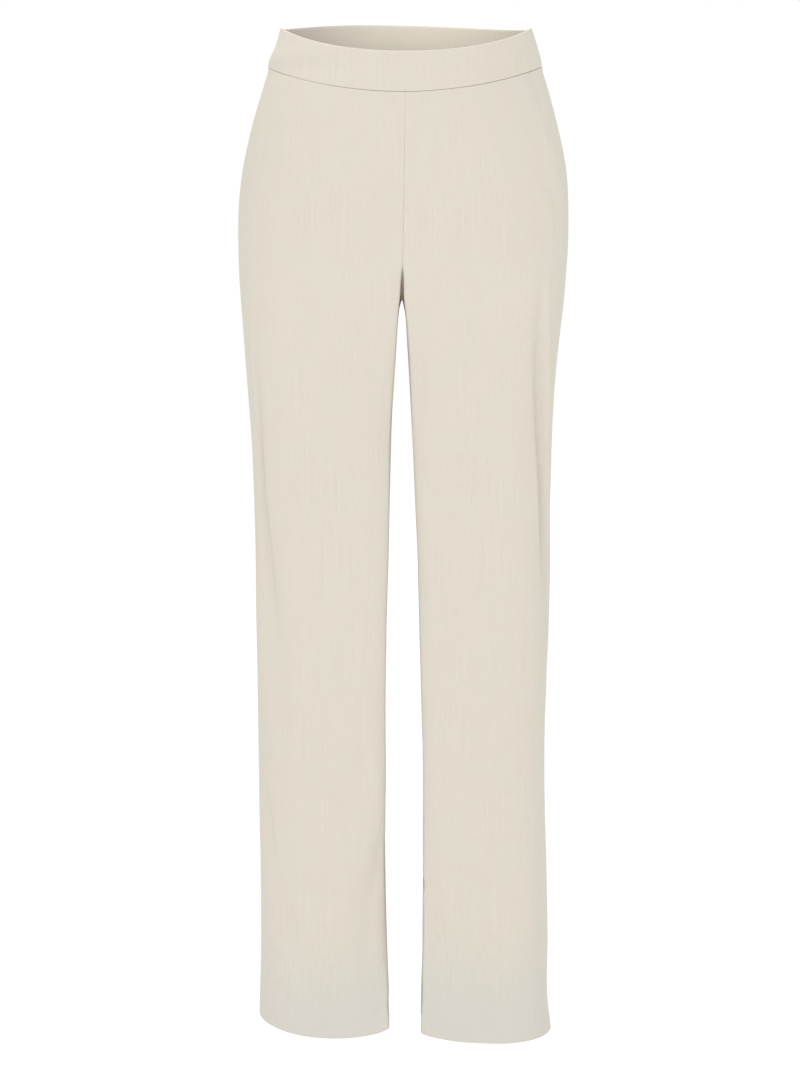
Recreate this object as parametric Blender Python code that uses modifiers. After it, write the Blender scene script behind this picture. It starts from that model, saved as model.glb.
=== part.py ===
"""Pull-on trousers with wide straight legs, filled out as if worn.

Metres, +Z up. The front faces -Y and the wearer's left is at +X. The origin is the middle of the waist
opening, level with the top edge of the waistband at the side seams. Two waistband halves and four leg
panels are each one wall of cloth, and their edges stand a seam gap apart.
"""

import math

import bmesh
import bpy
import numpy as np

# Cloth
PANEL_WALL = 0.0013
HEM_WALL = 0.0026
HEM_FOLD = 0.040
BAND_WALL = 0.0030
SEAM_GAP = 0.0003
CREAM = (0.64, 0.59, 0.52, 1.0)

# Sections through the body and the legs. "lean" is how far the centre seams stand off X = 0, and the
# other widths are measured from there: "right" and "left" to the side seams, "gap_right" and "gap_left"
# to the inseams. "front" and "back" are the depths each side of the side seam, which stands at "seam_y".
# "round" is how round the section is towards the side seams, from 2 for an ellipse up, and "ease" is how
# much it falls away towards the inseams.
SECTION_COLUMNS = (
    "height", "lean", "right", "left", "gap_right", "gap_left", "front", "back", "seam_y", "round", "ease",
)
SECTIONS = (
    (0.016, 0.0043, 0.1280, 0.1266, 0.0000, 0.0000, 0.0900, 0.0880, 0.0000, 2.1, 0.00),
    (-0.018, 0.0041, 0.1370, 0.1379, 0.0000, 0.0000, 0.0950, 0.0920, 0.0000, 2.1, 0.00),
    (-0.036, 0.0037, 0.1438, 0.1429, 0.0000, 0.0000, 0.0982, 0.0955, 0.0000, 2.1, 0.00),
    (-0.042, 0.0036, 0.1439, 0.1435, 0.0000, 0.0000, 0.0990, 0.0965, 0.0000, 2.1, 0.00),
    (-0.060, 0.0034, 0.1486, 0.1490, 0.0000, 0.0000, 0.1020, 0.1000, 0.0000, 2.2, 0.00),
    (-0.100, 0.0030, 0.1598, 0.1597, 0.0000, 0.0000, 0.1070, 0.1085, 0.0000, 2.4, 0.00),
    (-0.150, 0.0024, 0.1697, 0.1701, 0.0000, 0.0000, 0.1096, 0.1205, 0.0000, 2.7, 0.00),
    (-0.200, 0.0018, 0.1733, 0.1728, 0.0000, 0.0000, 0.1088, 0.1262, 0.0000, 2.9, 0.00),
    (-0.240, 0.0008, 0.1719, 0.1726, 0.0000, 0.0000, 0.1068, 0.1245, 0.0000, 3.0, 0.10),
    (-0.283, 0.0000, 0.1688, 0.1697, 0.0000, 0.0000, 0.1037, 0.1175, 0.0000, 3.1, 0.55),
    (-0.340, 0.0000, 0.1646, 0.1629, 0.0060, 0.0060, 0.0996, 0.1085, 0.0000, 3.1, 0.70),
    (-0.420, 0.0000, 0.1584, 0.1582, 0.0102, 0.0103, 0.0950, 0.1010, 0.0010, 3.0, 0.80),
    (-0.520, 0.0000, 0.1548, 0.1550, 0.0128, 0.0146, 0.0910, 0.0955, 0.0020, 2.9, 0.82),
    (-0.640, 0.0000, 0.1528, 0.1530, 0.0162, 0.0182, 0.0880, 0.0915, 0.0040, 2.8, 0.82),
    (-0.760, 0.0000, 0.1514, 0.1501, 0.0168, 0.0214, 0.0870, 0.0905, 0.0060, 2.8, 0.84),
    (-0.880, 0.0000, 0.1492, 0.1523, 0.0171, 0.0215, 0.0870, 0.0902, 0.0080, 2.8, 0.84),
    (-0.950, 0.0000, 0.1491, 0.1537, 0.0153, 0.0214, 0.0873, 0.0900, 0.0088, 2.8, 0.82),
    (-1.015, 0.0000, 0.1502, 0.1534, 0.0136, 0.0199, 0.0877, 0.0900, 0.0096, 2.8, 0.80),
    (-1.057, 0.0000, 0.1510, 0.1581, 0.0127, 0.0191, 0.0880, 0.0900, 0.0100, 2.8, 0.80),
)

# The crotch. Above it the ovals of the two legs run into each other, over the join's reach, and the centre
# seams run in between the thighs from the height of the fork. The corners in there are nearly square.
CROTCH = -0.283
JOIN_REACH = {"front": 0.100, "back": 0.130}
FORK = {"front": -0.238, "back": -0.215}
FORK_CURVE = 3.0
INSEAM_EDGE = {"front": 12.0, "back": 6.0}
EASE_POWER = 4.0
UNDER_CROTCH = 0.5

# Heights of the edges round the waist, at the side seams and at the middle of the front and back. They
# ride up towards the wearer's left by the skew.
BAND_TOP = {"side": 0.0015, "front": -0.0303, "back": 0.0128}
WAIST_SEAM = {"side": -0.0390, "front": -0.0730, "back": -0.0290}
EDGE_ROUND = 2.1
EDGE_SWEEP = 1.6
SKEW = 0.12

# The waistband's left side seam swings this far forward of the side.
SEAM_SWING = 0.022

# Hems: the heights at the side seam and at the inseam, and how far the front and back dip below those.
HEMS = {
    "right": {"side": -1.0362, "inseam": -1.0413, "dip": 0.0128},
    "left": {"side": -1.0524, "inseam": -1.0462, "dip": 0.0078},
}

# The largest folds, each a soft trough down a panel, at these distances from X = 0.
FOLD_COLUMNS = ("panel", "top", "bottom", "x_top", "x_bottom", "width", "depth")
FOLDS = (
    ("front_left", -0.24, -0.56, 0.138, 0.146, 0.012, 0.0045),
    ("front_right", -0.30, -0.80, 0.150, 0.118, 0.012, 0.0035),
    ("back_left", -0.30, -0.62, 0.118, 0.138, 0.014, 0.0045),
    ("back_right", -0.32, -0.70, 0.134, 0.116, 0.014, 0.0040),
)

# Grid of each piece
BODY_ROWS = 12
LEG_ROWS = 17
PANEL_COLUMNS = 16
BAND_ROWS = 3
BAND_COLUMNS = 20
EDGE_COLUMN = 0.0015
BEND_WEIGHT = 0.030
SAMPLES = 200

TOWARDS = {"front": -1, "back": 1, "right": -1, "left": 1}


def smooth_curve(places, values):
    """A function that runs smoothly through values given at rising places."""
    places = np.array(places)
    values = np.array(values)
    slopes = np.gradient(values, places)

    def value(place):
        place = np.clip(place, places[0], places[-1])
        left = np.clip(np.searchsorted(places, place) - 1, 0, len(places) - 2)
        step = places[left + 1] - places[left]
        t = (place - places[left]) / step
        rise = values[left + 1] - values[left]
        start = slopes[left] * step
        end = slopes[left + 1] * step
        bend = t * (3 * rise - 2 * start - end + t * (start + end - 2 * rise))
        return values[left] + t * (start + bend)

    return value


HEIGHTS = [row[0] for row in reversed(SECTIONS)]
SECTION = {
    name: smooth_curve(HEIGHTS, [row[column] for row in reversed(SECTIONS)])
    for column, name in enumerate(SECTION_COLUMNS)
}


def section(height, place, half, face):
    """Points round one face of one leg's section, at the height of each, and their share of its width.

    Place 0 is the inseam, 1 the middle and 2 the side seam. Above the crotch the leg's oval grows inwards
    until it is the body's own, and its inner half is cut off at the centre seam, which runs from between
    the thighs, where "forward" is 0, to the front or back of the body.
    """
    outer = SECTION[half](height)
    gap = np.maximum(SECTION["gap_" + half](height), 0)
    joined = np.sin(np.clip((height - CROTCH) / JOIN_REACH[face], 0, 1) * math.pi / 2) ** 2
    middle = (outer * (1 - joined) + gap) / 2

    edge = INSEAM_EDGE[face]
    rise = np.clip((height - CROTCH) / (FORK[face] - CROTCH), 0, 1)
    forward = (1 - (1 - rise) ** FORK_CURVE) ** 0.5
    cut = np.maximum(1 - forward**edge, 1e-9) ** (1 / edge)
    corner = 0.5 ** (1 / edge)
    wall = forward + np.maximum(corner - forward, 0) * np.clip(2 * place, 0, 1)
    inward = np.minimum(cut, corner) * np.clip(2 - 2 * place, 0, 1)
    inner_depth = np.where(place < 0.5, wall, (1 - inward**edge) ** (1 / edge))
    inward = np.where(place < 0.5, np.maximum(1 - wall**edge, 1e-9) ** (1 / edge), inward)
    inner_depth = inner_depth * (1 - (SECTION["ease"](height) * inward) ** EASE_POWER) ** (1 / EASE_POWER)
    turn = np.clip(place - 1, 0, 1) * math.pi / 2
    outward = np.sin(turn) ** (2 / SECTION["round"](height))
    outer_depth = np.abs(np.cos(turn)) ** (2 / SECTION["round"](height))

    across = middle - (middle - gap) * inward / cut + (outer - middle) * outward
    depth = SECTION[face](height) * np.where(place < 1, inner_depth, outer_depth)
    x = SECTION["lean"](height) + TOWARDS[half] * across
    y = SECTION["seam_y"](height) + TOWARDS[face] * depth
    points = np.stack([x, y, height + 0 * x], axis=-1)
    return points, np.clip(across / outer, 0, 1), np.clip((across - middle) / (outer - middle), -1, 1)


def body_line(middle, side, half, face, place, fan):
    """A line across one face of one half of the body, from the centre seam at one height to the side seam.

    It sweeps round level in the middle, as the waist seam does, or straight ("fan" 1) at the crotch.
    """
    share = section(middle + 0 * place, place, half, face)[1]
    level = (1 - share**EDGE_ROUND) ** (EDGE_SWEEP / 2)
    skewed = level * (1 - SKEW * TOWARDS[half] * share ** (EDGE_ROUND / 2))
    height = side + (middle - side) * (skewed * (1 - fan) + (1 - share) * fan)
    return section(height, place, half, face)[0]


def leg_line(fall, half, face, place):
    """A line across one face of a leg, from the inseam to the side seam, part of the way to its hem."""
    hem = HEMS[half]
    _, _, share = section(CROTCH + 0 * place, place, half, face)
    tilt = (hem["side"] + hem["inseam"] + (hem["side"] - hem["inseam"]) * share) / 2
    dip = hem["dip"] * (1 - np.abs(share) ** EDGE_ROUND) ** (EDGE_SWEEP / 2)
    hemline = tilt - dip
    return section(CROTCH + (hemline - CROTCH) * fall, place, half, face)[0]


def distances(points):
    """How far along a line each of its points lies."""
    steps = np.linalg.norm(np.diff(points, axis=0), axis=1)
    return np.concatenate([[0], np.cumsum(steps)])


def columns(points, count, start=0.0, end=None):
    """Points on a line, closer together where it bends, with a narrow column at each end."""
    along = distances(points)
    apart = np.concatenate([[True], np.diff(along) > 1e-7])
    points = points[apart]
    along = along[apart]
    heading = np.diff(points, axis=0) / np.diff(along)[:, None]
    bend = np.arccos(np.clip((heading[1:] * heading[:-1]).sum(axis=1), -1, 1))
    effort = along + BEND_WEIGHT * np.concatenate([[0], np.cumsum(bend), [bend.sum()]])
    end = along[-1] if end is None else end
    first, last = np.interp([start + EDGE_COLUMN, end - EDGE_COLUMN], along, effort)
    inside = np.interp(np.linspace(first, last, count - 1), effort, along)
    places = np.concatenate([[start], inside, [end]])
    return np.stack([np.interp(places, along, points[:, axis]) for axis in range(3)], axis=-1)


def panel_grid(half, face):
    """Rows of points over a panel's outer face, from the waist seam down to the hem."""
    down = np.linspace(WAIST_SEAM[face], CROTCH, SAMPLES)
    centre_seam = section(down, 0 * down, half, face)[0]
    along = distances(centre_seam * np.array([0, UNDER_CROTCH, 1]))
    middles = np.interp(np.linspace(0, along[-1], BODY_ROWS + 1), along, down)
    sides = np.linspace(WAIST_SEAM["side"], CROTCH, BODY_ROWS + 1)
    fans = np.linspace(0, 1, BODY_ROWS + 1) ** 2
    place = np.linspace(0, 2, 4 * SAMPLES)
    rows = [
        body_line(middle, side, half, face, place, fan)
        for middle, side, fan in zip(middles, sides, fans)
    ]
    rows += [leg_line(fall, half, face, place) for fall in np.linspace(0, 1, LEG_ROWS + 1)[1:]]
    return np.array([columns(row, PANEL_COLUMNS) for row in rows])


def band_line(face, down):
    """A line round one face of the waistband, from the right side seam to the left, part way down it."""
    place = np.linspace(1, 2, SAMPLES)
    middle = BAND_TOP[face] + (WAIST_SEAM[face] - BAND_TOP[face]) * down
    side = BAND_TOP["side"] + (WAIST_SEAM["side"] - BAND_TOP["side"]) * down
    right, left = [body_line(middle, side, half, face, place, 0) for half in ("right", "left")]
    return np.concatenate([right[::-1], left[1:]])


def band_grid(face):
    """Rows of points over half of the waistband, from its top edge to the waist seam."""
    rows = []
    for down in np.linspace(0, 1, BAND_ROWS + 1):
        front = band_line("front", down)
        swing = SEAM_SWING * math.sqrt(1 - down**3)
        seam = distances(front)[-1] - swing
        if face == "front":
            rows.append(columns(front, BAND_COLUMNS, SEAM_GAP / 2, seam - SEAM_GAP / 2))
        else:
            round_back = np.concatenate([band_line("back", down), front[-2::-1]])
            end = distances(band_line("back", down))[-1] + swing
            rows.append(columns(round_back, BAND_COLUMNS, SEAM_GAP / 2, end - SEAM_GAP / 2))
    return np.array(rows)


def press_folds(grid, name, turned):
    """Presses this panel's folds into its grid, each a trough that fades out at its ends."""
    inward = np.cross(np.gradient(grid, axis=0), np.gradient(grid, axis=1)) * turned
    inward /= np.linalg.norm(inward, axis=-1, keepdims=True)
    for fold in FOLDS:
        row = dict(zip(FOLD_COLUMNS, fold))
        if row["panel"] != name:
            continue
        along = np.clip((row["top"] - grid[..., 2]) / (row["top"] - row["bottom"]), 0, 1)
        across = row["x_top"] + (row["x_bottom"] - row["x_top"]) * along
        off = (np.abs(grid[..., 0]) - across) / row["width"]
        depth = row["depth"] * np.exp(-(off**2)) * np.sin(along * math.pi)
        grid = grid + inward * depth[..., None]
    return grid


def cloth(name, grid, turned, wall, hem_wall=None):
    """A piece of cloth from a grid of points on its outer face, given its wall by Solidify.

    "turned" is 1 where the grid's columns run clockwise round the body, seen from above, and else -1.
    """
    build = bmesh.new()
    verts = [[build.verts.new(point) for point in row] for row in grid]
    for upper, lower in zip(verts, verts[1:]):
        for column in range(len(upper) - 1):
            corners = [upper[column], lower[column], lower[column + 1], upper[column + 1]]
            build.faces.new(corners if turned < 0 else corners[:1] + corners[:0:-1])
    mesh = bpy.data.meshes.new(name)
    build.to_mesh(mesh)
    build.free()
    mesh.shade_smooth()
    piece = bpy.data.objects.new(name, mesh)
    trousers.objects.link(piece)

    thicken = piece.modifiers.new("wall", "SOLIDIFY")
    thicken.thickness = hem_wall or wall
    thicken.offset = -1
    if hem_wall:
        turned_up = piece.vertex_groups.new(name="turned_up")
        fold_line = grid[-1, :, 2].min() + HEM_FOLD
        hem = [vertex.index for vertex in mesh.vertices if vertex.co.z < fold_line]
        turned_up.add(hem, 1.0, "REPLACE")
        thicken.vertex_group = turned_up.name
        thicken.thickness_vertex_group = wall / hem_wall

    material = bpy.data.materials.new(name)
    material.use_nodes = True
    shader = material.node_tree.nodes["Principled BSDF"]
    shader.inputs["Base Color"].default_value = CREAM
    shader.inputs["Roughness"].default_value = 0.85
    mesh.materials.append(material)


for old in list(bpy.data.objects):
    bpy.data.objects.remove(old)
trousers = bpy.data.collections.new("wide_leg_trousers")
bpy.context.scene.collection.children.link(trousers)

for face in ("front", "back"):
    lift = np.array([0, 0, SEAM_GAP])
    cloth("waistband_" + face, band_grid(face) + lift, TOWARDS[face], BAND_WALL)
    for half in ("right", "left"):
        name = face + "_" + half
        turned = TOWARDS[face] * TOWARDS[half]
        apart = np.array([TOWARDS[half], TOWARDS[face], -1]) * SEAM_GAP / 2
        grid = press_folds(panel_grid(half, face), name, turned) + apart
        cloth(name, grid, turned, PANEL_WALL, HEM_WALL)
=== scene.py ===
import math

import bpy
import numpy as np
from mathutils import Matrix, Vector


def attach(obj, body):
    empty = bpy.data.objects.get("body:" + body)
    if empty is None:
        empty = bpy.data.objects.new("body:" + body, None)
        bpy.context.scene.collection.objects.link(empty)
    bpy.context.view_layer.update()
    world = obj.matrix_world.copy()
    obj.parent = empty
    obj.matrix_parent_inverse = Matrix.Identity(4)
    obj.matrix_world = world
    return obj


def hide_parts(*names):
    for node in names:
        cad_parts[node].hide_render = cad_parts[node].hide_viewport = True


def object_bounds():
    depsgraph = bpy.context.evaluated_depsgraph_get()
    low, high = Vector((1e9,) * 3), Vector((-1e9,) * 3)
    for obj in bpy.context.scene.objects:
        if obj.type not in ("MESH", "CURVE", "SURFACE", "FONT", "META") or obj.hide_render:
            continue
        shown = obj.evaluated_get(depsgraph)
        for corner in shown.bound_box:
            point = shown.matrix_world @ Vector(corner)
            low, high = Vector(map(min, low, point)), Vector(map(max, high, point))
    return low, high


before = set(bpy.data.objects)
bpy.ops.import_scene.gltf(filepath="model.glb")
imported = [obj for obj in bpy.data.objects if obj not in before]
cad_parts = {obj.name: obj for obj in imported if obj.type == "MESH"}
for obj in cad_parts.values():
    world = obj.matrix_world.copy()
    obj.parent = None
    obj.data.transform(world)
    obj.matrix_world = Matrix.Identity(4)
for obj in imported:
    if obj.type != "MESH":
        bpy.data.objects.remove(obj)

cad_low, cad_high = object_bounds()
bpy.ops.object.select_all(action="DESELECT")


# The view. The trousers hang in the air as a wearer holds them, over a pale floor, and a long lens looks
# at them level from the front. The studio is white all round, with one large soft lamp behind the camera
# and a small one above the waist, which lights the inside of the waistband at the back.
EYE_DISTANCE = 4.2
EYE_HEIGHT = -0.3895
AIM = Vector((-0.0021, 0.0, -0.5295))
VIEW_HEIGHT = 1.1246
SENSOR = 36.0
FLOOR_DROP = 0.10
FLOOR_SIZE = 60.0
FLOOR_GREY = (0.92, 0.92, 0.92, 1)
FLOOR_ROUGHNESS = 0.9
FLOOR_GLOW = 0.12
WHITE = (1, 1, 1, 1)

camera = bpy.data.objects.new("camera", bpy.data.cameras.new("camera"))
bpy.context.scene.collection.objects.link(camera)
camera.location = (AIM.x, -EYE_DISTANCE, EYE_HEIGHT)
camera.rotation_euler = (AIM - camera.location).to_track_quat("-Z", "Y").to_euler()
camera.data.sensor_fit = "VERTICAL"
camera.data.sensor_height = SENSOR
camera.data.lens = EYE_DISTANCE / VIEW_HEIGHT * SENSOR
bpy.context.scene.camera = camera
bpy.context.scene.view_settings.view_transform = "Standard"

bpy.ops.mesh.primitive_plane_add(size=FLOOR_SIZE, location=(0, 0, cad_low.z - FLOOR_DROP))
floor = bpy.context.object
floor.name = "studio_floor"
floor_paint = bpy.data.materials.new("studio_floor")
floor_paint.use_nodes = True
floor_shader = floor_paint.node_tree.nodes["Principled BSDF"]
floor_shader.inputs["Base Color"].default_value = FLOOR_GREY
floor_shader.inputs["Roughness"].default_value = FLOOR_ROUGHNESS
floor_shader.inputs["Emission Color"].default_value = WHITE
floor_shader.inputs["Emission Strength"].default_value = FLOOR_GLOW
floor.data.materials.append(floor_paint)

studio = bpy.data.worlds.new("studio")
studio.use_nodes = True
studio.node_tree.nodes["Background"].inputs["Color"].default_value = WHITE
studio.node_tree.nodes["Background"].inputs["Strength"].default_value = 1.0
bpy.context.scene.world = studio

LAMPS = {
    "soft_lamp": {
        "place": Vector((-0.4, -5.0, 0.6)), "aim": AIM, "size": (3.0, 2.0), "watts": 44.0,
        "colour": (1.0, 0.96, 0.9), "spread": 180, "seen": True,
    },
    "waist_lamp": {
        "place": Vector((-0.06, -0.02, 0.28)), "aim": Vector((0.02, 0.085, 0.0)), "size": (0.12, 0.12),
        "watts": 0.32, "colour": (1.0, 0.97, 0.88), "spread": 90, "seen": False,
    },
}
for name, facts in LAMPS.items():
    lamp = bpy.data.objects.new(name, bpy.data.lights.new(name, "AREA"))
    bpy.context.scene.collection.objects.link(lamp)
    lamp.location = facts["place"]
    lamp.rotation_euler = (facts["aim"] - facts["place"]).to_track_quat("-Z", "Y").to_euler()
    lamp.data.shape = "RECTANGLE"
    lamp.data.size, lamp.data.size_y = facts["size"]
    lamp.data.energy = facts["watts"]
    lamp.data.color = facts["colour"]
    lamp.data.spread = math.radians(facts["spread"])
    lamp.visible_camera = facts["seen"]


# The four leg panels: one cut of cloth each, from the waist seam to the hem. Their edges curl in at the
# seams and lie pressed open inside, and each hem is turned up once and blind stitched.
CLOTH = 0.0003
SMOOTH_UNDER = math.radians(50)
SEAM_ROLL = 0.0006
WAIST_ROLL = 0.0003
SEAM_ALLOWANCE = (0.0020, 0.0045, 0.0075, 0.0110)
WAIST_ALLOWANCE = 0.008
HEM_ROLL = 0.0008
HEM_FOLD = 0.040
PRESSED = 0.00004
MEETING_STEPS = 4
CURL_TURNS = np.radians([22.5, 45.0, 67.5, 90.0, 112.5, 135.0, 157.5, 180.0])
PANEL_COLUMNS = 116
BODY_ROWS = 86
LEG_ROWS = 236
SAMPLES = 700
TOWARDS = {"front": -1, "back": 1, "right": -1, "left": 1}
SIDES = ("right", "left")

# Sections through the body and the legs, as the cloth lies on a general figure. "lean" is how far the
# centre seams stand off X = 0, and the other widths are measured from there, to the side seams and to the
# inseams. "front" and "back" are the depths each side of the side seam, which stands at "seam_y". "round"
# is how round a section is towards the side seams, from 2 for an ellipse up, and "ease" is how much each
# leg falls away towards its inseam.
SECTION_COLUMNS = (
    "height", "lean", "right", "left", "gap_right", "gap_left", "front", "back", "seam_y", "round",
    "ease_right", "ease_left",
)
SECTIONS = (
    (0.016, 0.0043, 0.1280, 0.1266, 0.0000, 0.0000, 0.0900, 0.0880, 0.0000, 2.1, 0.00, 0.00),
    (-0.018, 0.0041, 0.1370, 0.1379, 0.0000, 0.0000, 0.0950, 0.0920, 0.0000, 2.1, 0.00, 0.00),
    (-0.036, 0.0037, 0.1438, 0.1429, 0.0000, 0.0000, 0.0982, 0.0955, 0.0000, 2.1, 0.00, 0.00),
    (-0.042, 0.0036, 0.1439, 0.1435, 0.0000, 0.0000, 0.0990, 0.0965, 0.0000, 2.1, 0.00, 0.00),
    (-0.060, 0.0034, 0.1486, 0.1490, 0.0000, 0.0000, 0.1020, 0.1000, 0.0000, 2.2, 0.00, 0.00),
    (-0.100, 0.0030, 0.1598, 0.1597, 0.0000, 0.0000, 0.1070, 0.1085, 0.0000, 2.4, 0.00, 0.00),
    (-0.150, 0.0024, 0.1697, 0.1701, 0.0000, 0.0000, 0.1096, 0.1205, 0.0000, 2.7, 0.00, 0.00),
    (-0.200, 0.0018, 0.1733, 0.1728, 0.0000, 0.0000, 0.1088, 0.1262, 0.0000, 2.9, 0.00, 0.00),
    (-0.240, 0.0008, 0.1719, 0.1726, 0.0000, 0.0000, 0.1068, 0.1245, 0.0000, 3.0, 0.10, 0.10),
    (-0.262, 0.0003, 0.1704, 0.1712, 0.0012, 0.0010, 0.1053, 0.1212, 0.0000, 3.1, 0.30, 0.30),
    (-0.283, 0.0000, 0.1688, 0.1697, 0.0021, 0.0017, 0.1037, 0.1175, 0.0000, 3.1, 0.55, 0.50),
    (-0.300, 0.0000, 0.1676, 0.1676, 0.0038, 0.0036, 0.1024, 0.1144, 0.0000, 3.1, 0.62, 0.56),
    (-0.340, 0.0000, 0.1646, 0.1629, 0.0060, 0.0060, 0.0996, 0.1085, 0.0000, 3.1, 0.80, 0.76),
    (-0.420, 0.0000, 0.1584, 0.1578, 0.0106, 0.0103, 0.0950, 0.1010, 0.0010, 3.0, 0.84, 0.84),
    (-0.520, 0.0000, 0.1548, 0.1549, 0.0130, 0.0146, 0.0910, 0.0955, 0.0020, 2.9, 0.84, 0.84),
    (-0.640, 0.0000, 0.1528, 0.1534, 0.0162, 0.0182, 0.0880, 0.0915, 0.0040, 2.8, 0.84, 0.82),
    (-0.760, 0.0000, 0.1514, 0.1501, 0.0168, 0.0214, 0.0870, 0.0905, 0.0060, 2.8, 0.86, 0.82),
    (-0.880, 0.0000, 0.1492, 0.1523, 0.0171, 0.0215, 0.0870, 0.0902, 0.0080, 2.8, 0.90, 0.80),
    (-0.950, 0.0000, 0.1491, 0.1537, 0.0153, 0.0214, 0.0873, 0.0900, 0.0088, 2.8, 0.92, 0.72),
    (-1.015, 0.0000, 0.1502, 0.1534, 0.0136, 0.0199, 0.0877, 0.0900, 0.0096, 2.8, 0.82, 0.70),
    (-1.057, 0.0000, 0.1510, 0.1581, 0.0127, 0.0191, 0.0880, 0.0900, 0.0100, 2.8, 0.72, 0.70),
)

# The legs join at the crotch, and the cut between them curves on up to the fork at the front and the back.
# The wall on the inside of each leg takes WALL_SHARE of a line's points, thins out over WALL_THINNING below
# the crotch, and stands back by WALL_RECESS behind the leg's corner.
CROTCH = -0.283
FORK = {"front": -0.215, "back": -0.215}
FORK_CURVE = 5.0
JOIN_REACH = {"front": 0.100, "back": 0.130}
INSEAM_EDGE = {"front": 60.0, "back": 8.0}
EASE_POWER = 5.0
UNDER_CROTCH = 0.5
WALL_SHARE = 0.38
WALL_THINNING = 0.12
WALL_RECESS = 0.0025
WALL_END = {"front": 0.52, "back": 0.30}
SEAM_PULL = 0.0030
ARCH = 0.006
BEND_WEIGHT = 0.020

# The waist seam's height at the side seams and in the middle of each face. It sweeps between them, and SKEW
# tilts the sweep, first along the waistband's top edge and then along the seam.
WAIST_SEAM = {"right": -0.0410, "left": -0.0398, "front": -0.0730, "back": -0.0290}
EDGE_ROUND = 2.1
EDGE_SWEEP = 1.6
SKEW = {
    "front": {"right": (0.00, 0.07), "left": (0.00, 0.12)},
    "back": {"right": (-0.35, -0.12), "left": (0.30, 0.12)},
}

# Each hem's height at its side seam and its inseam, and how far it dips between them.
HEMS = {
    "right": {"side": -1.0344, "inseam": -1.0411, "dip": 0.0132},
    "left": {"side": -1.0504, "inseam": -1.0464, "dip": 0.0082},
}

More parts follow.
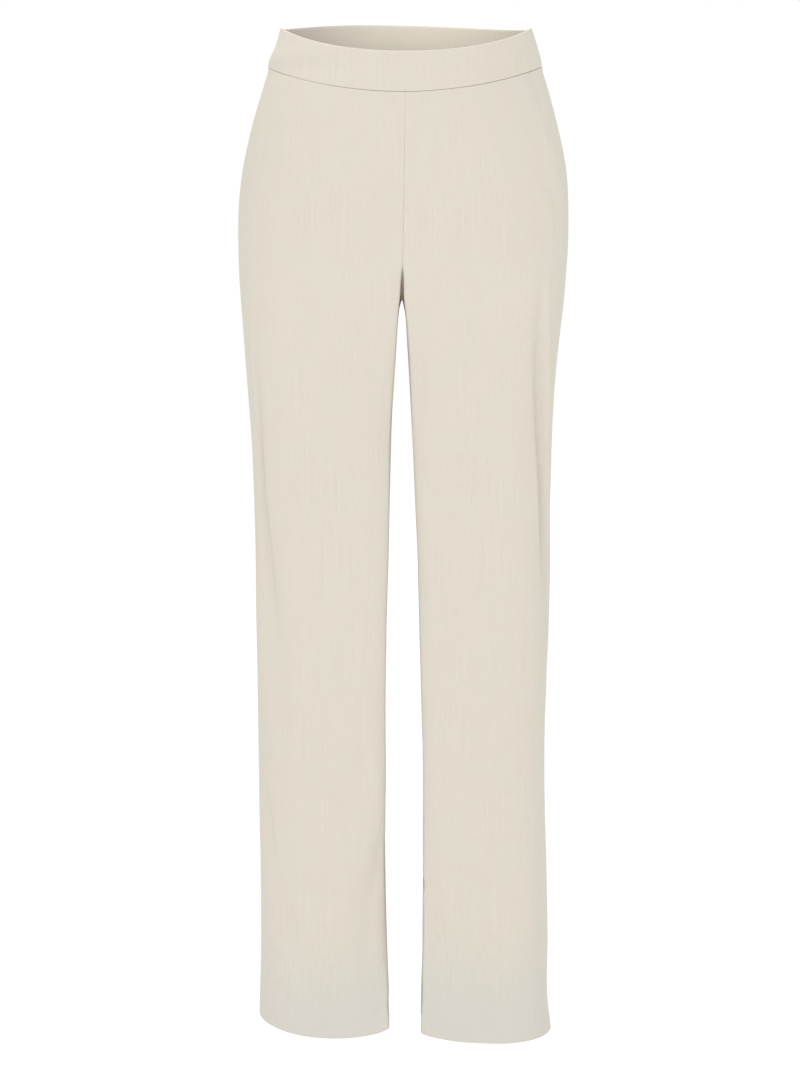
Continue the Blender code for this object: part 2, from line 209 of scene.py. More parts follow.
# Creases, each a soft trough along a bow through three points, or a ridge where its depth is negative.
# Each point is a height and how far from X = 0 it is. "lean" makes the wall on the side seam's side wider,
# and "foot" is how far down the crease it is deepest. Narrow creases raise a low shoulder on either side,
# and every crease dies out where a seam holds the cloth.
CREASE_COLUMNS = (
    "top", "top_x", "middle", "middle_x", "bottom", "bottom_x", "width", "depth", "lean", "foot",
)
CREASES = {
    "front_left": (
        (-0.240, 0.1465, -0.440, 0.1460, -0.720, 0.1530, 0.0062, 0.0085, -0.20, 0.52),
        (-0.270, 0.137, -0.440, 0.136, -0.660, 0.143, 0.0120, 0.0022, 0.00, 0.55),
        (-0.440, 0.148, -0.560, 0.1485, -0.700, 0.150, 0.0100, 0.0060, 0.00, 0.45),
        (-0.280, 0.149, -0.376, 0.153, -0.470, 0.154, 0.0110, -0.0030, 0.00, 0.50),
        (-0.320, 0.122, -0.430, 0.117, -0.560, 0.113, 0.0150, -0.0018, 0.00, 0.50),
        (-0.295, 0.006, -0.370, 0.014, -0.440, 0.019, 0.0110, 0.0020, 0.20, 0.50),
        (-0.470, 0.022, -0.510, 0.038, -0.540, 0.056, 0.0090, 0.0026, 0.20, 0.55),
        (-0.555, 0.021, -0.586, 0.034, -0.620, 0.045, 0.0100, -0.0016, 0.00, 0.50),
        (-0.555, 0.042, -0.595, 0.052, -0.640, 0.061, 0.0110, 0.0022, -0.20, 0.50),
        (-0.735, 0.123, -0.758, 0.106, -0.780, 0.091, 0.0090, 0.0018, 0.00, 0.50),
        (-0.815, 0.098, -0.850, 0.098, -0.885, 0.098, 0.0100, 0.0016, 0.00, 0.50),
        (-0.875, 0.024, -0.896, 0.028, -0.915, 0.032, 0.0070, 0.0016, 0.00, 0.50),
        (-0.900, 0.025, -0.940, 0.027, -0.985, 0.028, 0.0100, 0.0028, 0.20, 0.50),
        (-0.965, 0.088, -1.010, 0.088, -1.070, 0.088, 0.0180, 0.0026, 0.00, 0.70),
        (-0.960, 0.023, -1.010, 0.023, -1.075, 0.023, 0.0140, 0.0022, 0.00, 0.70),
        (-0.095, 0.144, -0.128, 0.155, -0.150, 0.168, 0.0080, -0.0016, 0.00, 0.50),
        (-0.140, 0.143, -0.172, 0.155, -0.205, 0.168, 0.0100, 0.0022, 0.00, 0.60),
        (-0.042, 0.133, -0.072, 0.142, -0.105, 0.150, 0.0090, 0.0018, 0.00, 0.40),
        (-0.800, 0.146, -0.930, 0.148, -1.060, 0.150, 0.0140, 0.0035, 0.00, 0.50),
    ),
    "front_right": (
        (-0.270, 0.150, -0.445, 0.1475, -0.640, 0.132, 0.0055, 0.0060, -0.20, 0.55),
        (-0.480, 0.143, -0.640, 0.131, -0.810, 0.117, 0.0130, 0.0040, 0.00, 0.45),
        (-0.285, 0.153, -0.350, 0.152, -0.420, 0.151, 0.0110, -0.0020, 0.00, 0.50),
        (-0.520, 0.149, -0.605, 0.147, -0.720, 0.144, 0.0080, -0.0034, 0.00, 0.50),
        (-0.370, 0.131, -0.560, 0.120, -0.780, 0.100, 0.0180, -0.0018, 0.00, 0.45),
        (-0.755, 0.146, -0.815, 0.140, -0.870, 0.135, 0.0080, 0.0044, 0.30, 0.75),
        (-0.862, 0.143, -0.890, 0.141, -0.915, 0.139, 0.0090, -0.0016, 0.00, 0.50),
        (-0.870, 0.132, -0.935, 0.120, -1.015, 0.092, 0.0100, 0.0030, 0.00, 0.45),
        (-0.900, 0.109, -0.925, 0.109, -0.950, 0.109, 0.0090, -0.0012, 0.00, 0.50),
        (-0.830, 0.026, -0.925, 0.033, -1.060, 0.034, 0.0180, 0.0060, 0.00, 0.45),
        (-0.825, 0.023, -0.870, 0.022, -0.925, 0.024, 0.0080, 0.0018, 0.00, 0.50),
        (-0.720, 0.057, -0.740, 0.049, -0.760, 0.041, 0.0080, -0.0014, 0.00, 0.50),
        (-0.745, 0.033, -0.780, 0.042, -0.820, 0.053, 0.0100, 0.0020, 0.00, 0.50),
        (-0.870, 0.053, -0.898, 0.058, -0.925, 0.062, 0.0090, -0.0014, 0.00, 0.50),
        (-0.960, 0.024, -1.000, 0.023, -1.045, 0.022, 0.0110, 0.0022, 0.00, 0.60),
        (-1.005, 0.016, -1.022, 0.017, -1.040, 0.018, 0.0060, 0.0014, 0.00, 0.60),
        (-0.300, 0.022, -0.410, 0.026, -0.580, 0.030, 0.0180, 0.0020, 0.00, 0.45),
        (-0.370, 0.013, -0.425, 0.015, -0.480, 0.016, 0.0090, 0.0014, 0.00, 0.50),
        (-0.155, 0.163, -0.188, 0.163, -0.225, 0.163, 0.0140, 0.0016, 0.00, 0.50),
        (-0.080, 0.022, -0.180, 0.017, -0.265, 0.012, 0.0200, 0.0045, 0.00, 0.50),
        (-0.355, 0.095, -0.400, 0.093, -0.445, 0.091, 0.0050, 0.0007, 0.00, 0.50),
    ),
    "back_left": (
        (-0.265, 0.120, -0.400, 0.117, -0.600, 0.138, 0.0100, 0.0042, -0.20, 0.40),
        (-0.250, 0.062, -0.305, 0.051, -0.380, 0.083, 0.0120, 0.0030, 0.20, 0.45),
        (-0.300, 0.122, -0.400, 0.135, -0.500, 0.143, 0.0150, -0.0020, 0.00, 0.50),
        (-0.300, 0.005, -0.360, 0.010, -0.450, 0.018, 0.0130, 0.0022, 0.00, 0.40),
        (-0.520, 0.026, -0.560, 0.046, -0.600, 0.065, 0.0110, 0.0020, 0.00, 0.50),
        (-0.560, 0.115, -0.620, 0.105, -0.700, 0.097, 0.0120, 0.0018, 0.00, 0.50),
        (-0.700, 0.030, -0.760, 0.041, -0.830, 0.044, 0.0120, 0.0016, 0.00, 0.50),
        (-0.850, 0.127, -0.900, 0.116, -0.960, 0.109, 0.0110, 0.0018, 0.20, 0.50),
        (-0.930, 0.032, -0.990, 0.036, -1.070, 0.039, 0.0140, 0.0018, 0.00, 0.65),
        (-0.080, 0.135, -0.110, 0.146, -0.140, 0.158, 0.0120, 0.0012, 0.00, 0.50),
    ),
    "back_right": (
        (-0.270, 0.136, -0.440, 0.128, -0.700, 0.116, 0.0110, 0.0040, 0.20, 0.40),
        (-0.255, 0.056, -0.315, 0.039, -0.390, 0.062, 0.0120, 0.0028, 0.00, 0.45),
        (-0.330, 0.147, -0.440, 0.145, -0.560, 0.143, 0.0150, -0.0018, 0.00, 0.50),
        (-0.310, 0.005, -0.380, 0.010, -0.470, 0.014, 0.0120, 0.0020, 0.00, 0.40),
        (-0.540, 0.055, -0.590, 0.040, -0.640, 0.032, 0.0110, 0.0018, 0.00, 0.50),
        (-0.700, 0.133, -0.760, 0.136, -0.840, 0.132, 0.0120, 0.0020, 0.00, 0.60),
        (-0.820, 0.022, -0.870, 0.028, -0.940, 0.032, 0.0110, 0.0016, 0.00, 0.50),
        (-0.900, 0.092, -0.960, 0.101, -1.050, 0.106, 0.0140, 0.0018, 0.00, 0.60),
        (-0.090, 0.134, -0.125, 0.147, -0.160, 0.156, 0.0120, 0.0012, 0.00, 0.50),
    ),
}
CREASE_STEPS = 24
CREASE_FADE = 1.3
SHOULDER = 0.30
SHOULDER_OUT = 2.2
BROAD = 0.020
SEAM_HOLDS = 0.012

# Seams pucker a little along their length, and the cloth is nowhere quite smooth. Each pucker is a length
# and a share of the size, and each long wave a length across, a length down and a share.
PUCKER_WAVES = ((0.0085, 0.40), (0.0130, 0.70), (0.0210, 1.00), (0.0370, 0.80))
PUCKER_SHIFT = 1.7
SEAM_PUCKER = 0.00016
PUCKER_REACH = 0.009
UNEVEN_WAVES = ((0.047, 0.210, 0.5), (0.083, 0.330, 1.0), (0.131, 0.170, 0.7), (0.061, 0.450, 0.6))
WAVE_SLANT = 0.3
UNEVENNESS = 0.00045
FIRST_PHASE = 1.3
GRAIN_LINE = 0.083


def smooth_curve(places, values):
    """A function that runs smoothly through values given at rising places."""
    places = np.array(places)
    values = np.array(values)
    slopes = np.gradient(values, places)

    def value(place):
        place = np.clip(place, places[0], places[-1])
        left = np.clip(np.searchsorted(places, place) - 1, 0, len(places) - 2)
        step = places[left + 1] - places[left]
        t = (place - places[left]) / step
        rise = values[left + 1] - values[left]
        start = slopes[left] * step
        end = slopes[left + 1] * step
        bend = t * (3 * rise - 2 * start - end + t * (start + end - 2 * rise))
        return values[left] + t * (start + bend)

    return value


SECTION = {
    name: smooth_curve([row[0] for row in reversed(SECTIONS)], [row[column] for row in reversed(SECTIONS)])
    for column, name in enumerate(SECTION_COLUMNS)
}


def section(height, place, half, face):
    """Points round one face of one leg's section, at the height of each, and their share of its width.

    Place 0 is the inseam, 1 the middle and 2 the side seam. Above the crotch the leg's oval grows inwards
    until it is the body's own, and its inner half is cut off at the centre seam, which runs from between
    the thighs, where "forward" is 0, to the front or back of the body.
    """
    outer = SECTION[half](height)
    gap = np.maximum(SECTION["gap_" + half](height), 0)
    joined = np.sin(np.clip((height - CROTCH) / JOIN_REACH[face], 0, 1) * math.pi / 2) ** 2
    middle = (outer * (1 - joined) + gap) / 2

    edge = INSEAM_EDGE[face]
    rise = np.clip((height - CROTCH) / (FORK[face] - CROTCH), 0, 1)
    forward = (1 - (1 - rise) ** FORK_CURVE) ** 0.5
    cut = np.maximum(1 - forward**edge, 1e-9) ** (1 / edge)
    corner = 0.5 ** (1 / edge)
    wall = forward + np.maximum(corner - forward, 0) * np.clip(2 * place, 0, 1)
    inward = np.minimum(cut, corner) * np.clip(2 - 2 * place, 0, 1)
    inner_depth = np.where(place < 0.5, wall, (1 - inward**edge) ** (1 / edge))
    inward = np.where(place < 0.5, np.maximum(1 - wall**edge, 1e-9) ** (1 / edge), inward)
    eased_in = SECTION["ease_" + half](height) * inward
    inner_depth = inner_depth * (1 - eased_in**EASE_POWER) ** (1 / EASE_POWER)
    turn = np.clip(place - 1, 0, 1) * math.pi / 2
    outward = np.sin(turn) ** (2 / SECTION["round"](height))
    outer_depth = np.abs(np.cos(turn)) ** (2 / SECTION["round"](height))

    across = middle - (middle - gap) * inward / cut + (outer - middle) * outward
    below_crotch = np.clip((CROTCH - height) / WALL_THINNING, 0, 1)
    across = across + WALL_RECESS * below_crotch * np.clip(1 - 2 * place, 0, 1)
    depth = SECTION[face](height) * np.where(place < 1, inner_depth, outer_depth)
    x = SECTION["lean"](height) + TOWARDS[half] * across
    y = SECTION["seam_y"](height) + TOWARDS[face] * depth
    points = np.stack([x, y, height + 0 * x], axis=-1)
    return points, np.clip(across / outer, 0, 1), np.clip((across - middle) / (outer - middle), -1, 1)


def body_line(middle, side, half, face, place, fan, down=1.0):
    """A line across one face of one half of the body, from the centre seam at one height to the side seam.

    It sweeps round level in the middle, as the waist seam does, or straight ("fan" 1) at the crotch. In the
    waistband it lies part of the way down.
    """
    share = section(middle + 0 * place, place, half, face)[1]
    at_top, at_seam = SKEW[face][half]
    skew = at_top + (at_seam - at_top) * down
    swept = (1 - share**EDGE_ROUND) ** (EDGE_SWEEP / 2) * (1 - skew * share ** (EDGE_ROUND / 2))
    height = side + (middle - side) * (swept * (1 - fan) + (1 - share) * fan)
    return section(height, place, half, face)[0]


def leg_line(fall, half, face, place):
    """A line across one face of a leg, from the inseam to the side seam, part of the way to its hem."""
    hem = HEMS[half]
    _, _, share = section(CROTCH + 0 * place, place, half, face)
    tilt = (hem["side"] + hem["inseam"] + (hem["side"] - hem["inseam"]) * share) / 2
    dip = hem["dip"] * (1 - np.abs(share) ** EDGE_ROUND) ** (EDGE_SWEEP / 2)
    hemline = tilt - dip + HEM_ROLL
    return section(CROTCH + (hemline - CROTCH) * fall, place, half, face)[0]


def distances(points):
    """How far along a line each of its points lies."""
    steps = np.linalg.norm(np.diff(points, axis=0), axis=1)
    return np.concatenate([[0], np.cumsum(steps)])


def unit(vectors):
    """The same directions at length 1."""
    return vectors / np.linalg.norm(vectors, axis=-1, keepdims=True)


def even_points(line, count, start, end, corner=0.0, share=0.0):
    """Points along a line from one distance to another, closer together where it bends.

    This share of them is for the stretch up to its corner.
    """
    along = distances(line)
    apart = np.concatenate([[True], np.diff(along) > 1e-7])
    line = line[apart]
    along = along[apart]
    heading = unit(np.diff(line, axis=0))
    bend = np.arccos(np.clip((heading[1:] * heading[:-1]).sum(axis=1), -1, 1))
    effort = along + BEND_WEIGHT * np.concatenate([[0], np.cumsum(bend), [bend.sum()]])
    first, turn, last = np.interp([start, max(start, corner), end], along, effort)
    goals = np.interp(np.linspace(0, 1, count), [0, share, 1], [first, turn, last])
    places = np.interp(goals, effort, along)
    return np.stack([np.interp(places, along, line[:, axis]) for axis in range(3)], axis=-1), places


def pulled_in(line, half):
    """A line across a panel, with its end at the crotch or centre seam pulled in to meet the other leg."""
    height = line[0, 2]
    pull = SECTION["gap_" + half](height) * math.exp(-max(CROTCH - height, 0) / ARCH)
    line[:, 0] -= TOWARDS[half] * pull * np.exp(-distances(line) / SEAM_PULL)
    return line


def panel_lines(half, face):
    """Lines across a panel, from just below the waist seam down to just above the hem."""
    down = np.linspace(WAIST_SEAM[face] - WAIST_ROLL, CROTCH, SAMPLES)
    centre_seam = section(down, 0 * down, half, face)[0]
    along = distances(centre_seam * np.array([0, UNDER_CROTCH, 1]))
    middles = np.interp(np.linspace(0, along[-1], BODY_ROWS + 1), along, down)
    sides = np.linspace(WAIST_SEAM[half] - WAIST_ROLL, CROTCH, BODY_ROWS + 1)
    place = np.linspace(0, 2, 2 * SAMPLES)
    fans = np.linspace(0, 1, BODY_ROWS + 1) ** 2
    lines = [
        body_line(middle, side, half, face, place, fan)
        for middle, side, fan in zip(middles, sides, fans)
    ]
    lines += [leg_line(fall, half, face, place) for fall in np.linspace(0, 1, LEG_ROWS + 1)[1:]]
    return [pulled_in(line, half) for line in lines]


def eased(share):
    """A smooth rise from 0 to 1 as the share goes from 0 to 1."""
    share = min(max(share, 0), 1)
    return share * share * (3 - 2 * share)


def inner_share(height, face):
    """The share of a line's points on the leg's inner wall, which ends on the way up to the fork."""
    if height <= CROTCH:
        return WALL_SHARE * (1 - 0.5 * eased(1 + (height - CROTCH) / WALL_THINNING))
    return WALL_SHARE * 0.5 * (1 - eased((height - CROTCH) / (WALL_END[face] * (FORK[face] - CROTCH))))


def lie_of(grid, turned):
    """The directions across and down a grid of points, and out of it."""
    across = unit(np.gradient(grid, axis=1))
    down = unit(np.gradient(grid, axis=0))
    return across, down, unit(np.cross(across, down)) * turned


def crease_depth(place, lines, crease):
    """How deep one crease presses at each place, which is metres across from the grain line and a height."""
    row = dict(zip(CREASE_COLUMNS, crease))
    marks = []
    for name in ("top", "middle", "bottom"):
        x = row[name + "_x"]
        across = [np.interp([GRAIN_LINE, x], np.abs(line[:, 0]), distances(line)) for line in lines]
        heights = [np.interp(x, np.abs(line[:, 0]), line[:, 2]) for line in lines]
        from_grain = np.interp(-row[name], -np.array(heights), np.diff(across, axis=1)[:, 0])
        marks.append(np.array([from_grain, row[name]]))
    start, through, end = marks
    pull = 2 * through - (start + end) / 2
    t = np.linspace(0, 1, CREASE_STEPS + 1)[:, None]
    bow = (1 - t) ** 2 * start + 2 * t * (1 - t) * pull + t**2 * end

    nearest = np.full(place.shape[:2], 1.0)
    along = np.zeros(place.shape[:2])
    side = np.zeros(place.shape[:2])
    for step, (a, b) in enumerate(zip(bow, bow[1:])):
        run = b - a
        share = np.clip((place - a) @ run / (run @ run), 0, 1)
        off = place - (a + share[..., None] * run)
        far = np.linalg.norm(off, axis=-1)
        closer = far < nearest
        nearest = np.where(closer, far, nearest)
        along = np.where(closer, (step + share) / CREASE_STEPS, along)
        side = np.where(closer, np.sign(run[0] * off[..., 1] - run[1] * off[..., 0]), side)
    q = nearest / (row["width"] * (1 + row["lean"] * side))
    fade = np.sin(math.pi * along ** (math.log(0.5) / math.log(row["foot"]))) ** CREASE_FADE
    shoulder = SHOULDER * max(0, 1 - row["width"] / BROAD)
    return row["depth"] * fade * (np.exp(-(q**2)) - shoulder * np.exp(-((q - SHOULDER_OUT) ** 2)))


def waves(place, phase):
    """A gentle unevenness over a surface, from a few long waves that cross each other."""
    total = 0
    for number, (across, down, size) in enumerate(UNEVEN_WAVES):
        slant = (1 if number % 2 else -1) * (1 + WAVE_SLANT * number)
        total = total + size * np.sin(
            2 * math.pi * (place[..., 0] / across + slant * place[..., 1] / down) + phase * (number + 1)
        )
    return total / len(UNEVEN_WAVES)


def pucker(along, phase):
    """The small ripples along a seam."""
    return sum(
        size * np.sin(2 * math.pi * along / wave + phase * (number + PUCKER_SHIFT))
        for number, (wave, size) in enumerate(PUCKER_WAVES)
    ) / len(PUCKER_WAVES)


def laid_flat(points):
    """How far across and down its cloth each point of a grid lies, along the rows and the columns."""
    across = np.linalg.norm(np.diff(points, axis=1), axis=-1)
    down = np.linalg.norm(np.diff(points, axis=0), axis=-1)
    u = np.concatenate([np.zeros((len(points), 1)), np.cumsum(across, axis=1)], axis=1)
    v = np.concatenate([np.zeros((1, points.shape[1])), np.cumsum(down, axis=0)])
    return u, v


def curl(edge, out, beyond, radius, turns):
    """An edge rolled back on itself: the points and their normals at each turn."""
    turns = turns.reshape(-1, *[1] * edge.ndim)
    points = edge + radius * (np.sin(turns) * beyond - (1 - np.cos(turns)) * out)
    return points, np.cos(turns) * out + np.sin(turns) * beyond


def sheet_of_cloth(name, points, keep, turned, grain):
    """A thin sheet through a grid of points, with the cloth's own wall and a map of its grain in metres."""
    rows, columns = points.shape[:2]
    index = np.arange(rows * columns).reshape(rows, columns)
    corners = np.stack([index[:-1, :-1], index[1:, :-1], index[1:, 1:], index[:-1, 1:]], axis=-1)[keep]
    corners = corners if turned < 0 else corners[:, ::-1]
    used, corners = np.unique(corners, return_inverse=True)
    corners = corners.reshape(-1, 4)
    mesh = bpy.data.meshes.new(name)
    mesh.from_pydata(points.reshape(-1, 3)[used].tolist(), [], corners.tolist())
    mesh.uv_layers.new(name="grain").data.foreach_set("uv", grain.reshape(-1, 2)[used][corners].ravel())
    piece = bpy.data.objects.new(name, mesh)
    bpy.context.scene.collection.objects.link(piece)
    bpy.ops.object.select_all(action="DESELECT")
    piece.select_set(True)
    bpy.context.view_layer.objects.active = piece
    wall = piece.modifiers.new("wall", "SOLIDIFY")
    wall.thickness = CLOTH
    wall.offset = -1
    bpy.ops.object.modifier_apply(modifier=wall.name)
    bpy.ops.object.shade_smooth_by_angle(angle=SMOOTH_UNDER)
    mesh.materials.append(suiting)
    return piece


# The cloth: a matte cream suiting in a plain weave, with fine uneven slubs along the warp, so its marks are
# noise drawn out along the grain. It turns a little greyer towards the hems, which is painted shade for the
# lamp's light falling off there. Close round the fork it is paler and warmer, which is painted light: it
# stands in for the warm light that comes through the cloth and bounces round between the legs.
YARN_COLUMNS = ("across", "along", "detail", "offset", "low", "high", "to_low", "to_high")
YARNS = {
    "threads": (0.0011, 0.0900, 2.0, 3.1, 0.30, 0.70, -0.022, 0.022),
    "fine": (0.0006, 0.0200, 2.0, 17.3, 0.30, 0.70, -0.014, 0.014),
    "dark_slubs": (0.0012, 0.0110, 1.0, 41.9, 0.68, 0.80, 0.0, -0.065),
    "pale_slubs": (0.0011, 0.0090, 1.0, 63.2, 0.69, 0.80, 0.0, 0.050),
    "patches": (0.0450, 0.1100, 2.0, 7.7, 0.35, 0.65, 0.35, 1.3),
    "warmth": (0.0350, 0.0600, 2.0, 23.1, 0.35, 0.65, 0.0, 1.0),
    "weave": (0.0004, 0.0005, 1.0, 5.5, 0.30, 0.70, -0.02, 0.02),
}
YARN_ROUGHNESS = 0.6
FINISH = {
    "Roughness": 0.88, "Specular IOR Level": 0.25, "Sheen Weight": 0.08, "Sheen Roughness": 0.6,
}
COOL_CREAM = (0.6255, 0.592, 0.518, 1)
WARM_CREAM = (0.638, 0.587, 0.510, 1)
# Painted shade: the greyer colour near the hems, and how far down the grain it starts and is full.
HEM_PAINTED_SHADE = (0.596, 0.572, 0.514, 1)
HEM_SHADE_REACH = (0.94, 1.04)
# Painted light: the paler, warmer colour laid close round the fork, and the limits of where it lies.
FORK_PAINTED_LIGHT = (1.0, 0.88, 0.74, 1)
FORK_ACROSS = (0.0030, 0.0060)
FORK_DEEP = (0.0900, 0.1000)
FORK_TOP = (-0.258, -0.248)
FORK_BOTTOM = (-0.325, -0.300)
TURNED_INWARDS = (-0.0003, 0.0)
TURNED_DOWN = (-0.5, -0.1)
RELIEF_STRENGTH = 0.5
RELIEF_DEPTH = 0.001


def suiting_weave():
    """The suiting, laid along each piece's own grain."""
    material = bpy.data.materials.new("suiting")
    material.use_nodes = True
    nodes = material.node_tree.nodes
    links = material.node_tree.links
    shader = nodes["Principled BSDF"]
    for name, number in FINISH.items():
        shader.inputs[name].default_value = number
    grain = nodes.new("ShaderNodeUVMap")
    grain.uv_map = "grain"

    def span(value, low, high, to_low, to_high):
        """The value spread from one range to another, and held at its ends."""
        ranged = nodes.new("ShaderNodeMapRange")
        for name, number in (
            ("From Min", low), ("From Max", high), ("To Min", to_low), ("To Max", to_high),
        ):
            ranged.inputs[name].default_value = number
        links.new(value, ranged.inputs["Value"])
        return ranged.outputs["Result"]

    def yarn(name):
        """Noise drawn out along the warp, with cells of the size in the table, in metres."""
        row = dict(zip(YARN_COLUMNS, YARNS[name]))
        stretch = nodes.new("ShaderNodeMapping")
        stretch.inputs["Scale"].default_value = (1 / row["across"], 1 / row["along"], 1)
        stretch.inputs["Location"].default_value = (row["offset"], row["offset"], 0)
        links.new(grain.outputs["UV"], stretch.inputs["Vector"])
        noise = nodes.new("ShaderNodeTexNoise")
        noise.noise_dimensions = "2D"
        noise.inputs["Scale"].default_value = 1.0
        noise.inputs["Detail"].default_value = row["detail"]
        noise.inputs["Roughness"].default_value = YARN_ROUGHNESS
        links.new(stretch.outputs["Vector"], noise.inputs["Vector"])
        return span(noise.outputs["Fac"], row["low"], row["high"], row["to_low"], row["to_high"])

    def join(operation, first, second):
        """Two values, or a value and a number, put together."""
        node = nodes.new("ShaderNodeMath")
        node.operation = operation
        links.new(first, node.inputs[0])
        if isinstance(second, float):
            node.inputs[1].default_value = second
        else:
            links.new(second, node.inputs[1])
        return node.outputs["Value"]

    def turning_into(colour, first, share):
        """A node whose colour goes from the first to this one, as the share goes from 0 to 1."""
        node = nodes.new("ShaderNodeMix")
        node.data_type = "RGBA"
        node.inputs["B"].default_value = colour
        if isinstance(first, tuple):
            node.inputs["A"].default_value = first
        else:
            links.new(first, node.inputs["A"])
        links.new(share, node.inputs["Factor"])
        return node.outputs["Result"]

    def parts_of(vector):
        """The X, Y and Z of a vector."""
        apart = nodes.new("ShaderNodeSeparateXYZ")
        links.new(vector, apart.inputs["Vector"])
        return apart.outputs

    threads = yarn("threads")
    slubs = join("ADD", yarn("dark_slubs"), yarn("pale_slubs"))
    marks = join("ADD", join("ADD", threads, yarn("fine")), slubs)
    tone = join("ADD", join("MULTIPLY", marks, yarn("patches")), 1.0)

    body = turning_into(WARM_CREAM, COOL_CREAM, yarn("warmth"))
    # Painted shade: the colour turns greyer down the grain near the hems, for the lamp's light falling off
    # there.
    down_grain = parts_of(grain.outputs["UV"])["Y"]
    hem_shaded = turning_into(HEM_PAINTED_SHADE, body, span(down_grain, *HEM_SHADE_REACH, 0.0, 1.0))

    # Painted light: close round the fork, on cloth turned towards the middle plane or downwards, the colour
    # goes paler and warmer, for the warm light in the shade between the legs.
    spot = parts_of(nodes.new("ShaderNodeTexCoord").outputs["Object"])
    facing = parts_of(nodes.new("ShaderNodeNewGeometry").outputs["Normal"])
    near = span(join("ABSOLUTE", spot["X"], 0.0), *FORK_ACROSS, 1.0, 0.0)
    within = span(join("ABSOLUTE", spot["Y"], 0.0), *FORK_DEEP, 1.0, 0.0)
    low = span(spot["Z"], *FORK_TOP, 1.0, 0.0)
    high = span(spot["Z"], *FORK_BOTTOM, 0.0, 1.0)
    inwards = span(join("MULTIPLY", spot["X"], facing["X"]), *TURNED_INWARDS, 1.0, 0.0)
    downwards = span(facing["Z"], *TURNED_DOWN, 1.0, 0.0)
    outside = join("MAXIMUM", inwards, downwards)
    fork_light_mask = join("MULTIPLY", join("MULTIPLY", near, outside), within)
    fork_light_mask = join("MULTIPLY", fork_light_mask, join("MINIMUM", low, high))
    tinted = turning_into(FORK_PAINTED_LIGHT, hem_shaded, fork_light_mask)

    shade = nodes.new("ShaderNodeVectorMath")
    shade.operation = "SCALE"
    links.new(tinted, shade.inputs["Vector"])
    links.new(tone, shade.inputs["Scale"])
    links.new(shade.outputs["Vector"], shader.inputs["Base Color"])

    relief = nodes.new("ShaderNodeBump")
    relief.inputs["Strength"].default_value = RELIEF_STRENGTH
    relief.inputs["Distance"].default_value = RELIEF_DEPTH
    links.new(join("ADD", join("ADD", threads, slubs), yarn("weave")), relief.inputs["Height"])
    links.new(relief.outputs["Normal"], shader.inputs["Normal"])
    return material


suiting = suiting_weave()


def meet(grid, far, edge, away, seam, turned):
    """Move one edge of a grid so that its curl just meets a seam's plane, easing off away from there.

    "away" is the direction from the plane for each row, and "seam" is the plane's place along it.
    """
    for _ in range(MEETING_STEPS):
        across, _, out = lie_of(grid, turned)
        beyond = across[:, edge] * (-1 if edge == 0 else 1)
        rolled, _ = curl(grid[:, edge], out[:, edge], beyond, SEAM_ROLL, CURL_TURNS)
        short = seam - PRESSED - (rolled * away).sum(axis=-1).min(axis=0)
        ease = np.exp(-np.abs(far - far[:, [edge]]) / SEAM_PULL)
        grid = grid + away[:, None] * (short[:, None] * ease)[..., None]
    return grid


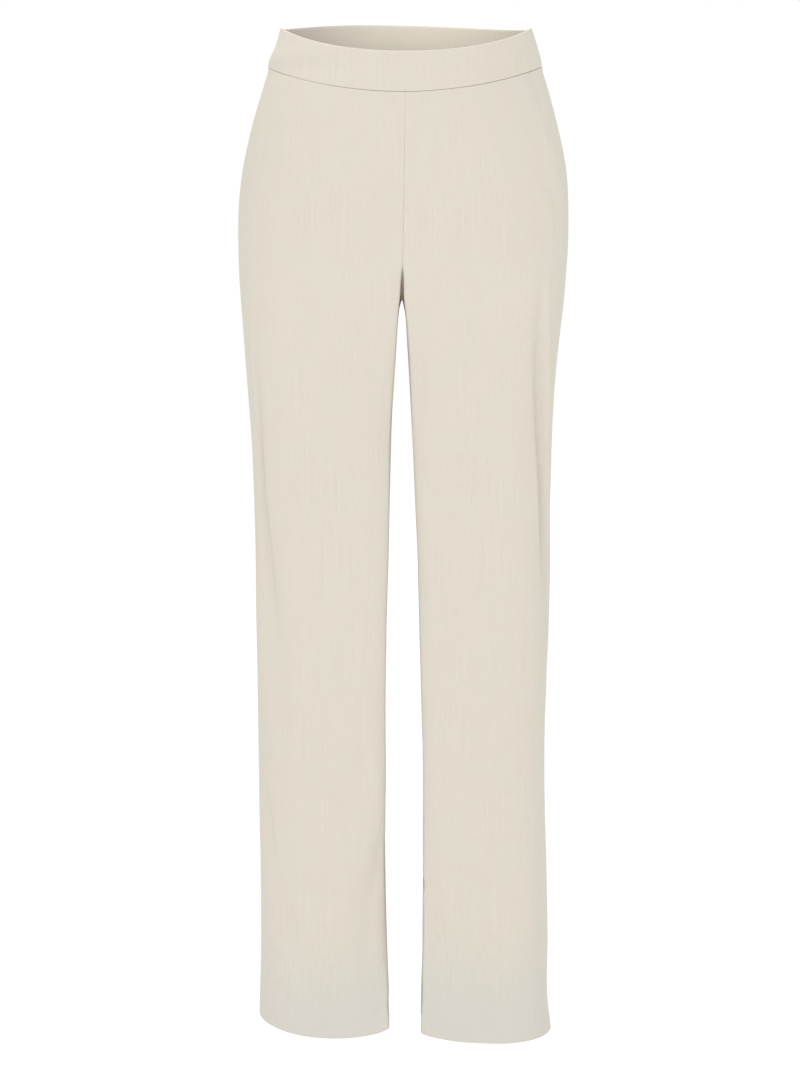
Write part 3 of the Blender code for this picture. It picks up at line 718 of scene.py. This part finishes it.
def leg_panel(half, face):
    """One leg panel: its outer face creased, its edges curled in at the seams, and its hem turned up."""
    name = face + "_" + half
    turned = TOWARDS[face] * TOWARDS[half]
    phase = FIRST_PHASE + list(CREASES).index(name)
    lines = panel_lines(half, face)
    lengths = np.array([distances(line)[-1] for line in lines])
    spread = [
        even_points(
            line, PANEL_COLUMNS, SEAM_ROLL, length - SEAM_ROLL, distances(line)[SAMPLES // 2],
            inner_share(line[0, 2], face),
        )
        for line, length in zip(lines, lengths)
    ]
    grid = np.array([points for points, _ in spread])
    far = np.array([places for _, places in spread])
    grain_at = np.array([
        np.interp(GRAIN_LINE, np.abs(line[:, 0]), distances(line)) for line in lines
    ])
    place = np.stack([far - grain_at[:, None], grid[..., 2]], axis=-1)

    across, down, out = lie_of(grid, turned)
    depth = sum(crease_depth(place, lines, crease) for crease in CREASES[name])
    depth = depth + UNEVENNESS * waves(place, phase)
    nearest_seam = np.minimum(far, lengths[:, None] - far)
    depth = depth * np.clip(nearest_seam / SEAM_HOLDS, 0, 1) ** 0.5
    depth = depth + SEAM_PUCKER * pucker(grid[..., 2], phase) * np.exp(-nearest_seam / PUCKER_REACH)
    below_waist = distances(grid[:, PANEL_COLUMNS // 2])[:, None]
    depth = depth + SEAM_PUCKER * pucker(far, phase + 2) * np.exp(-below_waist / PUCKER_REACH)
    grid = grid - out * depth[..., None]

    height = grid[:, 0, 2]
    body = (np.arange(len(grid)) <= BODY_ROWS)[:, None]
    sideways = np.array([TOWARDS[half], 0, 0])
    outwards = np.array([0, TOWARDS[face], 0])
    centre_plane = TOWARDS[half] * SECTION["lean"](height)
    inseam_plane = TOWARDS[face] * SECTION["seam_y"](height)
    seam = np.where(body[:, 0], centre_plane, inseam_plane)
    grid = meet(grid, far, 0, np.where(body, sideways, outwards), seam, turned)
    seam = TOWARDS[face] * SECTION["seam_y"](grid[:, -1, 2])
    grid = meet(grid, far, -1, outwards + 0 * grid[:, -1], seam, turned)
    across, down, out = lie_of(grid, turned)

    step = np.linalg.norm(grid[-1, 0] - grid[-2, 0])
    waist_rows = np.arange(int(WAIST_ALLOWANCE / step), 0, -1)
    hem_rows = -1 - np.arange(0, int(HEM_FOLD / step) + 1)
    top, top_out = curl(grid[0], out[0], -down[0], WAIST_ROLL, CURL_TURNS[::-1])
    low, low_out = curl(grid[-1], out[-1], down[-1], HEM_ROLL, CURL_TURNS)
    inside = grid - 2 * WAIST_ROLL * out
    turned_up = grid - 2 * HEM_ROLL * out
    points = np.concatenate([inside[waist_rows], top, grid, low, turned_up[hem_rows][1:]])
    outs = np.concatenate([-out[waist_rows], top_out, out, low_out, -out[hem_rows][1:]])
    sides = np.concatenate([
        across[waist_rows], np.repeat(across[:1], len(top), 0), across,
        np.repeat(across[-1:], len(low), 0), across[hem_rows][1:],
    ])
    plain = np.zeros(len(points), bool)
    plain[len(waist_rows) + len(top):][: len(grid) - len(hem_rows) + 2] = True

    left, _ = curl(points[:, 0], outs[:, 0], -sides[:, 0], SEAM_ROLL, CURL_TURNS)
    right, _ = curl(points[:, -1], outs[:, -1], sides[:, -1], SEAM_ROLL, CURL_TURNS)
    from_edge = (far - far[:, :1]).mean(axis=0)
    inner = np.searchsorted(from_edge, SEAM_ALLOWANCE)
    outer = np.searchsorted(from_edge[-1] - from_edge[::-1], SEAM_ALLOWANCE)
    allowance = points - 2 * SEAM_ROLL * outs
    points = np.concatenate([
        allowance[:, inner[::-1]], np.moveaxis(left, 0, 1)[:, ::-1], points,
        np.moveaxis(right, 0, 1), allowance[:, -1 - outer],
    ], axis=1)
    columns = points.shape[1]
    quarter = len(CURL_TURNS) // 2
    hidden = np.zeros(columns - 1, bool)
    hidden[: len(inner) + quarter] = True
    hidden[columns - 1 - len(outer) - quarter:] = True
    keep = plain[1:, None] & plain[:-1, None] | ~hidden

    first = len(inner) + len(CURL_TURNS)
    u, v = laid_flat(points)
    rows_in_grid = np.concatenate([
        waist_rows, np.zeros(len(top), int), np.arange(len(grid)),
        np.full(len(low), len(grid) - 1), len(grid) + hem_rows[1:],
    ])
    u = (u - u[:, first:first + 1] + SEAM_ROLL - grain_at[rows_in_grid][:, None]) * TOWARDS[half]
    v = v - v[len(waist_rows) + len(top)] - points[len(waist_rows) + len(top), :, 2]
    grain = np.stack([u, v], axis=-1)
    return sheet_of_cloth(name + "_cloth", points, keep, turned, grain)


for half in ("right", "left"):
    panel = leg_panel(half, "front")
    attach(panel, "root")
    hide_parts("front_" + half)


# The two back panels, of the same cloth and sewn the same way: cut wider than the fronts for the seat, and
# plain, with no pocket or dart.
for half in ("right", "left"):
    panel = leg_panel(half, "back")
    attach(panel, "root")
    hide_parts("back_" + half)


# The shaped waistband, in two halves that meet at the side seams. Each is an outer band and its facing,
# joined along the top edge, with the facing stitched down inside just below the waist seam.
BAND_TOP = {"side": 0.0018, "front": -0.0303, "back": 0.0133}
SEAM_SWING = 0.022
TOP_ROLL = 0.0012
FACING_BELOW = 0.009
BAND_ROWS = 15
BAND_COLUMNS = 140
BAND_LIFT = 0.00015
FACING_ROWS = 4
ALLOWANCE_ROWS = 4
BAND_STIFFNESS = 0.5
BAND_WAVES_PHASE = 5.0
BAND_PUCKER_PHASE = 3.0
BAND_GRAIN = (0.7, 0.9)


def band_line(face, down):
    """A line round one face of the waistband, from the right side seam to the left, part way down it."""
    place = np.linspace(1, 2, SAMPLES)
    middle = BAND_TOP[face] + (WAIST_SEAM[face] - BAND_TOP[face]) * down
    sides = {half: BAND_TOP["side"] + (WAIST_SEAM[half] - BAND_TOP["side"]) * down for half in SIDES}
    right, left = [body_line(middle, sides[half], half, face, place, 0, down) for half in SIDES]
    return np.concatenate([right[::-1], left[1:]])


def band_row(face, down):
    """Points along half of the waistband, part way down it, from seam to seam."""
    front = band_line("front", down)
    swing = SEAM_SWING * math.sqrt(max(0, 1 - down**3))
    if face == "front":
        return even_points(front, BAND_COLUMNS, SEAM_ROLL, distances(front)[-1] - swing - SEAM_ROLL)[0]
    back = band_line("back", down)
    round_back = np.concatenate([back, front[-2::-1]])
    return even_points(round_back, BAND_COLUMNS, SEAM_ROLL, distances(back)[-1] + swing - SEAM_ROLL)[0]


def waistband(face):
    """Half of the waistband, with its facing."""
    name = "waistband_" + face
    turned = TOWARDS[face]
    depth_of_band = BAND_TOP["side"] - WAIST_SEAM["left"]
    reach = 1 + FACING_BELOW / depth_of_band
    downs = np.linspace(TOP_ROLL / depth_of_band, 1 - WAIST_ROLL / depth_of_band, BAND_ROWS)
    below = np.linspace(1, reach, FACING_ROWS)
    grid = np.array([band_row(face, down) for down in np.concatenate([downs, below])])
    across, down, out = lie_of(grid, turned)
    far = distances(grid[BAND_ROWS // 2])[None, :]
    place = np.stack([far + 0 * grid[..., 0], grid[..., 2]], axis=-1)
    above_seam = np.abs(np.concatenate([downs, below]) - 1)[:, None] * depth_of_band
    depth = UNEVENNESS * BAND_STIFFNESS * waves(place, BAND_WAVES_PHASE + turned)
    puckers = pucker(far, BAND_PUCKER_PHASE + turned)
    depth = depth + SEAM_PUCKER * puckers * np.exp(-above_seam / PUCKER_REACH)
    grid = grid - out * depth[..., None] + np.array([0, TOWARDS[face] * PRESSED, BAND_LIFT])
    across, down, out = lie_of(grid, turned)

    last = BAND_ROWS - 1
    tucked = slice(last - ALLOWANCE_ROWS, last)
    low, low_out = curl(grid[last], out[last], down[last], WAIST_ROLL, CURL_TURNS[::-1])
    top, top_out = curl(grid[0], out[0], -down[0], TOP_ROLL, CURL_TURNS)
    folded_in = grid - 2 * WAIST_ROLL * out
    facing = grid - 2 * TOP_ROLL * out
    points = np.concatenate([
        folded_in[tucked], low, grid[last::-1], top, facing[1:],
    ])
    outs = np.concatenate([-out[tucked], low_out, out[last::-1], top_out, -out[1:]])
    sides = np.concatenate([
        across[tucked], np.repeat(across[last:last + 1], len(low), 0), across[last::-1],
        np.repeat(across[:1], len(top), 0), across[1:],
    ])
    quarter = CURL_TURNS[: len(CURL_TURNS) // 2]
    right, _ = curl(points[:, 0], outs[:, 0], -sides[:, 0], SEAM_ROLL, quarter)
    left, _ = curl(points[:, -1], outs[:, -1], sides[:, -1], SEAM_ROLL, quarter)
    points = np.concatenate([np.moveaxis(right, 0, 1)[:, ::-1], points, np.moveaxis(left, 0, 1)], axis=1)
    u, v = laid_flat(points)
    keep = np.ones((len(points) - 1, points.shape[1] - 1), bool)
    middle = np.array([[np.interp(0, row[:, 0], across)] for row, across in zip(points, u)])
    grain = np.stack([u - middle + BAND_GRAIN[0], v + BAND_GRAIN[1] * turned], axis=-1)
    return sheet_of_cloth(name + "_cloth", points, keep, -turned, grain)


for face in ("front", "back"):
    band = waistband(face)
    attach(band, "root")
    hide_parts("waistband_" + face)
